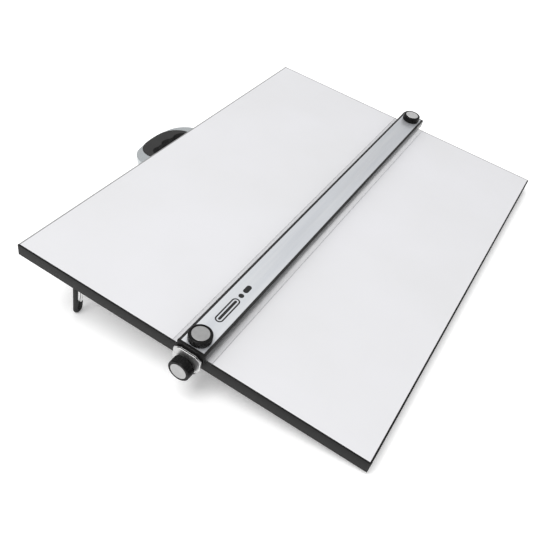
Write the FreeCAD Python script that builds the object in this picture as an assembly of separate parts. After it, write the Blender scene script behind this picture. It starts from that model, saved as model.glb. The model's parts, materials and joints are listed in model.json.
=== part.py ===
"""Portable drawing board with a cable-guided parallel straightedge.

The board is modelled in its own frame first: X along the straightedge, Y from
the front edge to the rear edge, Z out of the drawing surface, with the origin
at the centre of that surface.  Every solid is then tilted to the working
angle, so that the wedge feet and the leg tips stand on the plane Z = 0.
All sizes are in millimetres and angles in degrees.
"""
import FreeCAD
import Part
import math
import os
from FreeCAD import Rotation, Vector

# ---------------------------------------------------------------- board
BOARD_W = 787.4
BOARD_D = 584.2
BOARD_T = 20.0
BAND_T = 2.6
LAMINATE_T = 0.9
TILT = 12.0

# ---------------------------------------------------------------- feet
FOOT_X = 345.0
FOOT_Y = 277.0
FOOT_R = 11.0
FOOT_TAPER = 1.5
FOOT_BLANK_H = 18.0
FRONT_FOOT_H = 8.0
REAR_FOOT_X = 283.0
REAR_FOOT_Y = 271.0
REAR_FOOT_H = 23.0
FOOT_SCREW_SEAT = 3.5
FOOT_POCKET_R = 4.0

# ---------------------------------------------------------------- straightedge
BAR_Y = -21.6
BAR_HALF = 22.6
BAR_LEN = 794.0
BAR_Z0 = 2.6
BAR_Z1 = 18.4
BAR_WALL = 2.0
BAR_ROUND = 0.8
INLAY_HALF = 18.4
INLAY_T = 0.8
INLAY_PROUD = 0.1
BLADE_FRONT_REACH = 30.6
BLADE_REAR_REACH = 34.6
BLADE_W = 18.0
BLADE_T = 2.2
BLADE_LEN = 790.0
GLIDE_GAP = 0.2
GLIDE_X = 300.0
GLIDE_HALF_L = 35.0
GLIDE_HALF_W = 10.0
CAP_T = 3.5
CAP_PLUG = 26.0
CAP_BEVEL = 0.4

# ---------------------------------------------------------------- end carriages
END_Y = -19.8
CARRIAGE_IN = 394.5
CARRIAGE_HALF = 14.0
CARRIAGE_BOTTOM = -27.0
JAW_IN = 377.0
JAW_HALF = 13.0
JAW_TOP = -21.0
WALL_T = 2.5
WALL_INSET = 1.2
PLATE_T = 3.0
PLATE_TOP_HALF = 12.7
PLATE_TOP_Z = 12.5
PLATE_HALF = 22.0
PLATE_SHOULDER_Z = 7.0
PLATE_HIP_Z = -10.5
PLATE_FOOT_HALF = 13.0
PLATE_FOOT_Z = -22.5
PLATE_BEVEL = 0.5
PLATE_GROOVE_X = 0.9
PLATE_GROOVE_W = 1.2
PLATE_GROOVE_DEPTH = 2.0
CLAMP_HALF_W = 6.0
CLAMP_HALF_L = 11.0
CLAMP_T = 1.5
CLAMP_AXIS_Z = -10.5
PAD_R = 6.0
PAD_GAP = 0.45
PAD_T = 3.0

# ---------------------------------------------------------------- knobs
KNOB_R = 17.0
KNOB_ROUND = 1.6
KNOB_CAP_R = 12.7
KNOB_CAP_T = 1.4
KNOB_CAP_SUNK = 1.2
KNOB_FLUTES = 30
FLUTE_R = 1.3
FLUTE_DEPTH = 0.45
STUD_R = 2.5
FIT = 0.05
TOP_KNOB_X = 380.5
TOP_KNOB_H = 11.5
TOP_HUB_H = 1.0
TOP_HUB_R = 10.0
SIDE_KNOB_H = 16.5
SIDE_HUB_H = 2.7
SIDE_HUB_R = 8.0

# ---------------------------------------------------------------- cable drive
PULLEY_X = 374.0
PULLEY_Y = 264.0
PULLEY_R = 13.0
PULLEY_T = 5.0
CABLE_PITCH_R = 11.0
CABLE_R = 0.6
CABLE_Z = -23.5
AXLE_R = 2.0
BRACKET_T = 1.2
BRACKET_HALF = 14.0
SPOKE_HOLES = 5
SPOKE_HOLE_R = 1.6
SPOKE_RING_R = 6.2
CROSSING_DIP = 1.8
DIP_RUN = 40.0
DIP_FLAT = 20.0
GUIDE_HALF_X = 21.0
GUIDE_HALF_Y = 16.0
GUIDE_BOTTOM = -27.5
GUIDE_SCREW_X = 15.5
GUIDE_GAP = 0.9

# ---------------------------------------------------------------- legs
LEG_X = 348.5
LEG_Y = 216.0
LEG_Z = -27.0
LEG_LEAN = 4.5
LEG_WIRE_R = 3.0
LEG_SLEEVE_R = 3.9
LEG_TIP_R = 5.0
LEG_TOP_HALF = 10.0
LEG_BEND_R = 6.0
LEG_STUB = 10.5
SLEEVE_OUTER_LEN = 62.0
SLEEVE_INNER_LEN = 13.0
LEG_BASE_HALF_X = 26.5
LEG_BASE_HALF_Y = 9.0
LEG_BASE_T = 1.5
LEG_EAR_X = 16.6
LEG_EAR_T = 2.0
LEG_EAR_R = 6.0
LEG_LIP_HALF = 13.0
LEG_LIP_DEPTH = 8.0
LEG_LIP_GAP = 0.15
LEG_SCREW_X = 22.8
LEG_SCREW_Y = 1.0

# ---------------------------------------------------------------- handle
HANDLE_Y = 276.0
HANDLE_Z = -30.0
HANDLE_DROOP = 10.0
BOW_HALF = 80.0
BOW_REACH = 79.0
BOW_W = 21.0
BOW_T = 16.0
BOW_CORNER_R = 46.0
BOW_INNER_R = 34.0
BOW_ROUND = 2.8
GRIP_HALF = 58.0
GRIP_INNER_HALF = 47.0
GRIP_START = 22.0
GRIP_PROUD = 1.0
GRIP_W = 31.0
GRIP_T = 21.0
GRIP_CORNER_R = 42.0
GRIP_INNER_R = 28.0
GRIP_ROUND = 5.0
SCALLOPS = 3
SCALLOP_R = 18.0
SCALLOP_DEPTH = 5.0
SCALLOP_RING_R = 110.0
SCALLOP_STEP = 16.0
CORE_SIDE_INSET = 5.0
CORE_END_INSET = 7.0
CORE_W = 10.0
CORE_T = 8.0
CORE_START = 10.0
CROWN = 7.0
PIN_R = 3.0
HANDLE_BASE_T = 1.5
HANDLE_EAR_T = 2.0
HANDLE_EAR_R = 6.5
HANDLE_EAR_GAP = 0.5
HANDLE_BASE_OVER = 14.0
HANDLE_SCREW_OVER = 9.0

# ---------------------------------------------------------------- screws
SCREW_R = 1.7
SCREW_HEAD_R = 3.2
SCREW_HEAD_H = 1.6
SCREW_LEN = 12.0
SCREW_HEAD_ROUND = 0.7
RECESS_HALF = 1.7
RECESS_DEPTH = 0.8
COUNTERSINK_R = 2.9
COUNTERSINK_H = 1.4
END_SCREW_R = 1.5

X_AXIS = Vector(1, 0, 0)
Y_AXIS = Vector(0, 1, 0)
Z_AXIS = Vector(0, 0, 1)
HALF_W = BOARD_W / 2
HALF_D = BOARD_D / 2
CAP_OUT = BAR_LEN / 2 + CAP_T
WALL_OUT = CAP_OUT + WALL_T
PLATE_OUT = WALL_OUT + PLATE_T
INLAY_TOP = BAR_Z1 + INLAY_PROUD
CABLE_X = PULLEY_X + CABLE_PITCH_R


# ================================================================ helpers
def box(x0, x1, y0, y1, z0, z1):
    """A box between two corners, given in any order on each axis."""
    low = Vector(min(x0, x1), min(y0, y1), min(z0, z1))
    return Part.makeBox(abs(x1 - x0), abs(y1 - y0), abs(z1 - z0), low)


def prism(points, push):
    """A straight prism: a closed outline of points pushed along a vector."""
    return Part.Face(Part.makePolygon(points + [points[0]])).extrude(push)


def fused(solids):
    """One solid from several that meet or overlap."""
    whole = solids[0]
    if len(solids) > 1:
        whole = solids[0].multiFuse(solids[1:])
    return whole.removeSplitter()


def cut_all(shape, tools):
    """The shape with every tool taken away."""
    return shape.cut(Part.makeCompound(tools))


def mirrored(shape):
    """The same piece for the other end of the board."""
    return shape.mirror(Vector(0, 0, 0), X_AXIS)


def mirrored_depth(shape):
    """The same piece for the other edge of the board."""
    return shape.mirror(Vector(0, 0, 0), Y_AXIS)


def corners(shape):
    """Four copies of a piece made for the right rear corner."""
    rear = [shape, mirrored(shape)]
    return rear + [mirrored_depth(one) for one in rear]


def tube(point, heading, moves, radius):
    """A round rod that follows straight and curved moves.

    A move is (length,) for a straight run, or (side, bend_radius, degrees)
    for a bend whose centre lies towards the unit vector side.
    """
    solids = []
    for move in moves:
        disc = Part.Face(Part.Wire(Part.makeCircle(radius, point, heading)))
        if len(move) == 1:
            step = heading * move[0]
            solids.append(disc.extrude(step))
            point = point + step
        else:
            side, bend_radius, degrees = move
            centre = point + side * bend_radius
            axis = (point - centre).cross(heading).normalize()
            solids.append(disc.revolve(centre, axis, degrees))
            turn = Rotation(axis, degrees)
            point = centre + turn.multVec(point - centre)
            heading = turn.multVec(heading)
    return fused(solids), point, heading


def driver_recess(centre, outward, across, size, depth):
    """Crossed slots for a screwdriver, cut into a screw head."""
    other = outward.cross(across)
    bars = []
    for run, side in ((across, other), (other, across)):
        corner = centre - run * size - side * (size / 4)
        outline = [corner, corner + run * (2 * size)]
        outline.append(outline[1] + side * (size / 2))
        outline.append(outline[0] + side * (size / 2))
        bars.append(prism(outline, outward * -depth))
    return fused(bars)


def pan_screw(seat, outward):
    """A pan-head screw: its head stands outward from the seat."""
    shank = Part.makeCylinder(SCREW_R, SCREW_LEN, seat, outward * -1)
    head = Part.makeCylinder(SCREW_HEAD_R, SCREW_HEAD_H, seat, outward)
    rim = [edge for edge in head.Edges if edge.Closed
           and abs((edge.CenterOfMass - seat).dot(outward) - SCREW_HEAD_H) < 0.01]
    head = head.makeFillet(SCREW_HEAD_ROUND, rim)
    top = seat + outward * SCREW_HEAD_H
    head = head.cut(driver_recess(top, outward, X_AXIS, RECESS_HALF, RECESS_DEPTH))
    return fused([shank, head])


def underside_screw(x, y, plate_bottom):
    """A screw driven up into the board through a plate."""
    return pan_screw(Vector(x, y, plate_bottom), Z_AXIS * -1)


def countersunk_screw(seat, outward, length):
    """A countersunk screw whose head ends flush with the seat."""
    shank = Part.makeCylinder(END_SCREW_R, length, seat, outward * -1)
    head = Part.makeCone(COUNTERSINK_R, END_SCREW_R, COUNTERSINK_H, seat, outward * -1)
    return fused([shank, head])


def closed_edges(shape, low, high):
    """Closed edges of a turned piece that lie between two heights."""
    return [e for e in shape.Edges if e.Closed and low < e.CenterOfMass.z < high]


# ================================================================ feet
def floor_plane_z(y):
    """Height of the table under the tilted board, in the board's frame."""
    rim_y = -(FOOT_Y + FOOT_R)
    slope = math.tan(math.radians(TILT))
    return -BOARD_T - FRONT_FOOT_H - (y - rim_y) * slope


def below_floor():
    """Everything under the table plane near the front feet."""
    y0 = -FOOT_Y - 2 * FOOT_R
    y1 = -FOOT_Y + 2 * FOOT_R
    low = -BOARD_T - 2 * FOOT_BLANK_H
    outline = [Vector(-HALF_W, y0, floor_plane_z(y0)), Vector(-HALF_W, y1, floor_plane_z(y1)),
               Vector(-HALF_W, y1, low), Vector(-HALF_W, y0, low)]
    return prism(outline, X_AXIS * BOARD_W)


def foot(x, y, height):
    """A tapered rubber foot with a stepped hole for its screw."""
    top = Vector(x, y, -BOARD_T)
    body = Part.makeCone(FOOT_R, FOOT_R - FOOT_TAPER, height, top, Z_AXIS * -1)
    hole = Part.makeCylinder(SCREW_R, height, top, Z_AXIS * -1)
    pocket = Part.makeCylinder(FOOT_POCKET_R, height, top - Z_AXIS * FOOT_SCREW_SEAT, Z_AXIS * -1)
    return cut_all(body, [hole, pocket])


def build_feet():
    """Front wedge feet, rear feet and their screws."""
    front = []
    rear = []
    screws = []
    seat = -BOARD_T - FOOT_SCREW_SEAT
    for side in (-1, 1):
        front.append(foot(side * FOOT_X, -FOOT_Y, FOOT_BLANK_H).cut(below_floor()))
        rear.append(foot(side * REAR_FOOT_X, REAR_FOOT_Y, REAR_FOOT_H))
        screws.append(underside_screw(side * FOOT_X, -FOOT_Y, seat))
        screws.append(underside_screw(side * REAR_FOOT_X, REAR_FOOT_Y, seat))
    return Part.makeCompound(front), Part.makeCompound(rear), screws


# ================================================================ cable drive
def build_cable():
    """The closed figure-eight loop that keeps the straightedge parallel."""
    span = 2 * math.hypot(PULLEY_X, PULLEY_Y)
    lean = math.asin(2 * CABLE_PITCH_R / span)
    angle = math.atan2(PULLEY_Y, PULLEY_X) + lean
    wrap = 90 + math.degrees(angle)
    diagonal = span * math.cos(lean)
    level = (diagonal - DIP_FLAT) / 2 - DIP_RUN
    along = Vector(math.cos(angle), math.sin(angle), 0)
    turn = 2 * math.atan2(CROSSING_DIP, DIP_RUN)
    dip_r = DIP_RUN / (2 * math.sin(turn))
    dip = math.degrees(turn)
    over = along * math.sin(turn) + Z_AXIS * math.cos(turn)
    under = along * math.sin(turn) - Z_AXIS * math.cos(turn)
    right_of_along = Vector(math.sin(angle), -math.cos(angle), 0)
    left_of_return = Vector(-math.sin(angle), -math.cos(angle), 0)
    moves = [(X_AXIS, CABLE_PITCH_R, wrap), (level,),
             (Z_AXIS * -1, dip_r, dip), (over, dip_r, dip), (DIP_FLAT,),
             (Z_AXIS, dip_r, dip), (under, dip_r, dip), (level,),
             (right_of_along, CABLE_PITCH_R, wrap), (2 * PULLEY_Y,),
             (X_AXIS * -1, CABLE_PITCH_R, wrap), (diagonal,),
             (left_of_return, CABLE_PITCH_R, wrap), (2 * PULLEY_Y,)]
    start = Vector(-CABLE_X, -PULLEY_Y, CABLE_Z)
    return tube(start, Y_AXIS * -1, moves, CABLE_R)[0]


def build_pulley():
    """The right rear pulley: two flanges with a round-bottomed groove."""
    centre = Vector(PULLEY_X, PULLEY_Y, CABLE_Z - PULLEY_T / 2)
    wheel = Part.makeCylinder(PULLEY_R, PULLEY_T, centre)
    ring = Part.makeTorus(CABLE_PITCH_R, CABLE_R + FIT, Vector(PULLEY_X, PULLEY_Y, CABLE_Z))
    gap = CABLE_R + FIT
    slot = Part.makeCylinder(PULLEY_R + 1, 2 * gap, Vector(PULLEY_X, PULLEY_Y, CABLE_Z - gap))
    slot = slot.cut(Part.makeCylinder(CABLE_PITCH_R, 2 * gap, Vector(PULLEY_X, PULLEY_Y, CABLE_Z - gap)))
    tools = [ring, slot, Part.makeCylinder(AXLE_R + FIT, PULLEY_T, centre)]
    for k in range(SPOKE_HOLES):
        spoke = 2 * math.pi * (k + 0.5) / SPOKE_HOLES
        hole = centre + Vector(math.cos(spoke), math.sin(spoke), 0) * SPOKE_RING_R
        tools.append(Part.makeCylinder(SPOKE_HOLE_R, PULLEY_T, hole))
    return cut_all(wheel, tools)


def build_pulley_mount():
    """Bracket, axle and two screws for the right rear pulley."""
    play = 0.5
    wall_gap = 1.5
    lip_inset = 3.0
    screw_x = 9.0
    screw_y = 6.2
    head_r = 4.0
    head_h = 1.6
    collar_r = 3.5
    collar_play = 0.3
    axle_top = -12.0
    arm_top = CABLE_Z - PULLEY_T / 2 - play
    arm_bottom = arm_top - BRACKET_T
    y_wall = PULLEY_Y + PULLEY_R + wall_gap
    x0 = PULLEY_X - BRACKET_HALF
    x1 = PULLEY_X + BRACKET_HALF
    centre = Vector(PULLEY_X, PULLEY_Y, arm_bottom)
    arm = box(x0, x1, PULLEY_Y, y_wall + BRACKET_T, arm_bottom, arm_top)
    nose = Part.makeCylinder(BRACKET_HALF, BRACKET_T, centre)
    wall = box(x0, x1, y_wall, y_wall + BRACKET_T, arm_bottom, -BOARD_T)
    base = box(x0, x1, y_wall, HALF_D - lip_inset, -BOARD_T - BRACKET_T, -BOARD_T)
    bracket = fused([arm, nose, wall, base])
    screws = []
    for x in (PULLEY_X - screw_x, PULLEY_X + screw_x):
        screws.append(underside_screw(x, y_wall + screw_y, -BOARD_T - BRACKET_T))
    axle = Part.makeCylinder(AXLE_R, axle_top - arm_bottom, centre)
    head = Part.makeCylinder(head_r, head_h, centre, Z_AXIS * -1)
    head = head.cut(driver_recess(centre - Z_AXIS * head_h, Z_AXIS * -1, X_AXIS, head_r / 2, RECESS_DEPTH))
    collar_foot = CABLE_Z + PULLEY_T / 2 + collar_play
    collar = Part.makeCylinder(collar_r, -BOARD_T - collar_foot, Vector(PULLEY_X, PULLEY_Y, collar_foot))
    axle = fused([axle, head, collar])
    bracket = bracket.cut(Part.makeCylinder(AXLE_R, BRACKET_T, centre))
    bracket = cut_all(bracket, screws)
    return bracket, axle, screws


def build_cable_guide():
    """Moulded saddle that keeps the two crossing runs of cable apart."""
    corner_r = 3.0
    block = box(-GUIDE_HALF_X, GUIDE_HALF_X, -GUIDE_HALF_Y, GUIDE_HALF_Y, GUIDE_BOTTOM, -BOARD_T)
    angle = math.atan2(PULLEY_Y, PULLEY_X) + math.asin(CABLE_PITCH_R / math.hypot(PULLEY_X, PULLEY_Y))
    slots = []
    for sign, low in ((1, CABLE_Z - CROSSING_DIP - GUIDE_GAP), (-1, CABLE_Z - GUIDE_GAP)):
        slot = box(-3 * GUIDE_HALF_X, 3 * GUIDE_HALF_X, -GUIDE_GAP, GUIDE_GAP, low, CABLE_Z + GUIDE_GAP)
        slots.append(slot.rotate(Vector(0, 0, 0), Z_AXIS, sign * math.degrees(angle)))
    block = block.makeFillet(corner_r, [e for e in block.Edges if abs(e.tangentAt(0).z) > 0.9])
    screws = [underside_screw(x, 0, GUIDE_BOTTOM) for x in (-GUIDE_SCREW_X, GUIDE_SCREW_X)]
    return cut_all(block, slots + screws), screws


# ================================================================ knobs
def build_knob(height, stud_length, hub_h, hub_r):
    """Fluted knob on +Z with its base at the origin: body, cap and stud."""
    low_bevel = 0.7
    groove_r0 = KNOB_CAP_R + 0.8
    groove_r1 = KNOB_CAP_R + 1.5
    groove_depth = 0.5
    flute_end = 0.4
    cap_round = 0.5
    stud_sunk = 3.0
    body = Part.makeCylinder(KNOB_R, height - hub_h, Vector(0, 0, hub_h))
    body = body.makeFillet(KNOB_ROUND, closed_edges(body, height - 0.01, height + 0.01))
    body = body.makeChamfer(low_bevel, closed_edges(body, hub_h - 0.01, hub_h + 0.01))
    body = body.fuse(Part.makeCylinder(hub_r, hub_h))
    tools = []
    for k in range(KNOB_FLUTES):
        turn = 2 * math.pi * k / KNOB_FLUTES
        reach = KNOB_R + FLUTE_R - FLUTE_DEPTH
        foot_point = Vector(reach * math.cos(turn), reach * math.sin(turn), hub_h)
        tools.append(Part.makeCylinder(FLUTE_R, height - hub_h - KNOB_ROUND - flute_end, foot_point))
    ring_foot = Vector(0, 0, height - groove_depth)
    groove = Part.makeCylinder(groove_r1, groove_depth, ring_foot)
    groove = groove.cut(Part.makeCylinder(groove_r0, groove_depth, ring_foot))
    seat = Vector(0, 0, height - KNOB_CAP_SUNK)
    recess = Part.makeCylinder(KNOB_CAP_R, KNOB_CAP_SUNK, seat)
    stud = Part.makeCylinder(STUD_R, stud_length + height - stud_sunk, Vector(0, 0, -stud_length))
    body = cut_all(body, tools + [groove, recess, stud]).removeSplitter()
    cap = Part.makeCylinder(KNOB_CAP_R, KNOB_CAP_T, seat)
    cap_top = seat.z + KNOB_CAP_T
    return body, cap.makeFillet(cap_round, closed_edges(cap, cap_top - 0.01, cap_top + 0.01)), stud


def place_knob(pieces, point, outward):
    """Stand a knob on a point with its cap facing outward."""
    turn = Rotation(Z_AXIS, outward)
    where = FreeCAD.Placement(point, turn)
    return [piece.transformGeometry(where.toMatrix()) for piece in pieces]


# ================================================================ straightedge
def build_bar():
    """Hollow extruded bar, its inlaid top strip, the two clear blades and the glides."""
    half_len = BAR_LEN / 2
    hole_r = STUD_R + 0.5
    outer = box(-half_len, half_len, BAR_Y - BAR_HALF, BAR_Y + BAR_HALF, BAR_Z0, BAR_Z1)
    long_edges = [e for e in outer.Edges if abs(e.tangentAt(0).x) > 0.9
                  and e.CenterOfMass.z > BAR_Z1 - 0.01]
    outer = outer.makeFillet(BAR_ROUND, long_edges)
    in_half = BAR_HALF - BAR_WALL
    ceiling = BAR_Z1 - BAR_WALL - INLAY_T
    hollow = box(-half_len, half_len, BAR_Y - in_half, BAR_Y + in_half, BAR_Z0 + BAR_WALL, ceiling)
    inlay = box(-half_len, half_len, BAR_Y - INLAY_HALF, BAR_Y + INLAY_HALF,
                INLAY_TOP - INLAY_T, INLAY_TOP)
    holes = []
    for x in (-TOP_KNOB_X, TOP_KNOB_X):
        holes.append(Part.makeCylinder(hole_r, BAR_Z1, Vector(x, BAR_Y, ceiling)))
    bar = cut_all(outer, [hollow, inlay] + holes)
    inlay = cut_all(inlay, holes)
    half_blade = BLADE_LEN / 2
    z0 = BAR_Z0 - BLADE_T
    near = BAR_Y - BLADE_FRONT_REACH
    far = BAR_Y + BLADE_REAR_REACH
    blades = [box(-half_blade, half_blade, near, near + BLADE_W, z0, BAR_Z0),
              box(-half_blade, half_blade, far - BLADE_W, far, z0, BAR_Z0)]
    glides = []
    for x in (-GLIDE_X, 0, GLIDE_X):
        glides.append(box(x - GLIDE_HALF_L, x + GLIDE_HALF_L,
                          BAR_Y - GLIDE_HALF_W, BAR_Y + GLIDE_HALF_W, GLIDE_GAP, BAR_Z0))
    return bar, inlay, blades, Part.makeCompound(glides)


def octagon(x0, x1, inset):
    """The clamp plate's outline: a plate with its four corners cut off."""
    right = [(PLATE_TOP_HALF, PLATE_TOP_Z - inset), (PLATE_HALF - inset, PLATE_SHOULDER_Z),
             (PLATE_HALF - inset, PLATE_HIP_Z), (PLATE_FOOT_HALF, PLATE_FOOT_Z + inset)]
    outline = [Vector(x0, END_Y + side, z) for side, z in right]
    outline += [Vector(x0, END_Y - side, z) for side, z in reversed(right)]
    return prism(outline, Vector(x1 - x0, 0, 0))


def build_end_cap():
    """Moulded cap that plugs the right end of the hollow bar."""
    half_len = BAR_LEN / 2
    in_half = BAR_HALF - BAR_WALL
    plug = box(half_len - CAP_PLUG, half_len, BAR_Y - in_half, BAR_Y + in_half,
               BAR_Z0 + BAR_WALL, BAR_Z1 - BAR_WALL - INLAY_T)
    face = box(half_len, CAP_OUT, BAR_Y - BAR_HALF, BAR_Y + BAR_HALF, BAR_Z0, BAR_Z1)
    rim = [e for e in face.Edges if e.CenterOfMass.x > CAP_OUT - 0.01 and e.CenterOfMass.z > BAR_Z0 + 0.1]
    return fused([plug, face.makeChamfer(CAP_BEVEL, rim)])


def build_carriage():
    """Arm that reaches round the right edge of the board, and its inner jaw."""
    step_gap = 0.2
    y0 = END_Y - CARRIAGE_HALF
    y1 = END_Y + CARRIAGE_HALF
    wall = octagon(CAP_OUT, WALL_OUT, WALL_INSET)
    tail = box(CAP_OUT, WALL_OUT, y0, y1, CARRIAGE_BOTTOM, JAW_TOP)
    inner = box(CARRIAGE_IN, CAP_OUT, y0, y1, CARRIAGE_BOTTOM, BAR_Z0 - BLADE_T - step_gap)
    jaw = box(JAW_IN, CARRIAGE_IN, END_Y - JAW_HALF, END_Y + JAW_HALF, CARRIAGE_BOTTOM, JAW_TOP)
    return fused([wall, tail, inner, jaw])


def build_clamp_plate():
    """Stamped outer plate with its corners cut off and a grooved top edge."""
    plate = octagon(WALL_OUT, PLATE_OUT, 0.0)
    lip = [e for e in plate.Edges if e.CenterOfMass.x > PLATE_OUT - 0.01]
    plate = plate.makeChamfer(PLATE_BEVEL, lip)
    groove_x = WALL_OUT + PLATE_GROOVE_X
    return plate.cut(box(groove_x, groove_x + PLATE_GROOVE_W, END_Y - PLATE_TOP_HALF, END_Y + PLATE_TOP_HALF,
                         PLATE_TOP_Z - PLATE_GROOVE_DEPTH, PLATE_TOP_Z))


def build_cable_clamp():
    """Plate under the right jaw that grips the cable, its rib, and two screws."""
    rib_half = 1.4
    rib_gap = 0.8
    screw_x = CABLE_X - 3.7
    screw_y = 7.0
    screw_r = 1.0
    screw_depth = 5.5
    head_r = 2.0
    head_h = 1.2
    low = CARRIAGE_BOTTOM - CLAMP_T
    y0 = END_Y - CLAMP_HALF_L
    y1 = END_Y + CLAMP_HALF_L
    clamp = box(CABLE_X - CLAMP_HALF_W, CABLE_X + CLAMP_HALF_W, y0, y1, low, CARRIAGE_BOTTOM)
    rib = box(CABLE_X - rib_half, CABLE_X + rib_half, y0, y1, CARRIAGE_BOTTOM, CABLE_Z - rib_gap)
    screws = []
    for y in (END_Y - screw_y, END_Y + screw_y):
        seat = Vector(screw_x, y, low)
        shank = Part.makeCylinder(screw_r, screw_depth, seat)
        screws.append(fused([shank, Part.makeCylinder(head_r, head_h, seat, Z_AXIS * -1)]))
    return cut_all(fused([clamp, rib]), screws), screws


def build_end():
    """Everything fixed at the straightedge's right end."""
    plate_screw_y = 9.0
    cap_screw_y = 10.0
    cap_screw_z = 9.0
    cap_screw_len = 20.0
    tip_gap = 1.0
    recess_half = 1.5
    recess_depth = 0.7
    slot_half = 1.5
    slot_over = 6.0
    cable_gap = 0.8
    pad_travel = 1.5
    clamp, clamp_screws = build_cable_clamp()
    plate_screws = []
    screw_room = []
    for y in (END_Y - plate_screw_y, END_Y + plate_screw_y):
        seat = Vector(PLATE_OUT, y, CLAMP_AXIS_Z)
        screw = countersunk_screw(seat, X_AXIS, PLATE_OUT - CARRIAGE_IN - tip_gap)
        screw_room.append(screw)
        plate_screws.append(screw.cut(driver_recess(seat, X_AXIS, Y_AXIS, recess_half, recess_depth)))
    cap_screws = []
    for y in (END_Y - cap_screw_y, END_Y + cap_screw_y):
        cap_screws.append(countersunk_screw(Vector(WALL_OUT, y, cap_screw_z), X_AXIS, cap_screw_len))

    axis_out = Vector(PLATE_OUT, END_Y, CLAMP_AXIS_Z)
    stud_way = Part.makeCylinder(STUD_R + FIT, PLATE_OUT - JAW_IN, axis_out, X_AXIS * -1)
    pad_room = Part.makeCylinder(PAD_R + FIT, PAD_T + pad_travel,
                                 Vector(CARRIAGE_IN, END_Y, CLAMP_AXIS_Z), X_AXIS)
    knob_way = Part.makeCylinder(STUD_R + FIT, BAR_Z1, Vector(TOP_KNOB_X, BAR_Y, BAR_Z0 + BAR_WALL + tip_gap))
    cable_slot = box(CABLE_X - slot_half, CABLE_X + slot_half, END_Y - JAW_HALF - slot_over,
                     END_Y + JAW_HALF + slot_over, CARRIAGE_BOTTOM, CABLE_Z + cable_gap)
    cap = cut_all(build_end_cap(), [knob_way] + cap_screws)
    carriage = cut_all(build_carriage(),
                       [cable_slot, stud_way, pad_room] + screw_room + cap_screws + clamp_screws)
    plate = cut_all(build_clamp_plate(), [stud_way] + screw_room)
    return cap, carriage, plate, clamp, clamp_screws, plate_screws, cap_screws


def build_pad():
    """Right brake pad: it is pushed against the board's edge."""
    bevel = 0.4
    bore_depth = 2.0
    start = HALF_W + PAD_GAP
    pad = Part.makeCylinder(PAD_R, PAD_T, Vector(start, END_Y, CLAMP_AXIS_Z), X_AXIS)
    rim = [e for e in pad.Edges if e.Closed and e.CenterOfMass.x < start + 0.01]
    pad = pad.makeChamfer(bevel, rim)
    bore_end = Vector(start + PAD_T - bore_depth, END_Y, CLAMP_AXIS_Z)
    return pad.cut(Part.makeCylinder(STUD_R + FIT, bore_depth, bore_end, X_AXIS))


# ================================================================ legs
def leg_reach():
    """Distance from the pivot to the middle of the wire at the leg's tip."""
    tilt = math.radians(TILT)
    rim_y = -(FOOT_Y + FOOT_R)
    rise = (LEG_Y - rim_y) * math.sin(tilt) + (LEG_Z + BOARD_T + FRONT_FOOT_H) * math.cos(tilt)
    return (rise - LEG_SLEEVE_R) / math.cos(math.radians(LEG_LEAN + TILT))


def build_leg():
    """Left leg: a wire bent to a narrow loop, and the rubber sleeve on its tip."""
    drop = leg_reach() - LEG_TIP_R
    slant_line = math.hypot(LEG_TOP_HALF, drop)
    splay = math.acos(LEG_TIP_R / slant_line) - math.atan2(drop, LEG_TOP_HALF)
    branch = math.sqrt(slant_line ** 2 - LEG_TIP_R ** 2)
    top_turn = 90 - math.degrees(splay)
    corner = LEG_BEND_R * math.tan(math.radians(top_turn) / 2)
    going_down = Vector(math.sin(splay), 0, -math.cos(splay))
    going_up = Vector(math.sin(splay), 0, math.cos(splay))
    into_tip = Vector(math.cos(splay), 0, math.sin(splay))
    out_of_loop = Vector(math.cos(splay), 0, -math.sin(splay))
    tip_turn = (into_tip, LEG_TIP_R, 180 - 2 * math.degrees(splay))
    wire = tube(Vector(-LEG_TOP_HALF - LEG_STUB, 0, 0), X_AXIS,
                [(LEG_STUB - corner,), (Z_AXIS * -1, LEG_BEND_R, top_turn), (branch - corner,),
                 tip_turn, (branch - corner,), (out_of_loop, LEG_BEND_R, top_turn),
                 (LEG_STUB - corner,)], LEG_WIRE_R)[0]
    sleeve_top = Vector(-LEG_TOP_HALF, 0, 0) + going_down * (branch - SLEEVE_OUTER_LEN)
    sleeve = tube(sleeve_top, going_down,
                  [(SLEEVE_OUTER_LEN,), tip_turn, (SLEEVE_INNER_LEN,)], LEG_SLEEVE_R)[0]
    ends = [e for e in sleeve.Edges if e.Closed and e.CenterOfMass.z > -drop + 5]
    sleeve = sleeve.makeFillet(0.6, ends).cut(wire)
    pieces = []
    for piece in (wire, sleeve):
        piece = piece.rotate(Vector(0, 0, 0), X_AXIS, LEG_LEAN)
        pieces.append(piece.translate(Vector(-LEG_X, LEG_Y, LEG_Z)))
    return pieces


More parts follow.
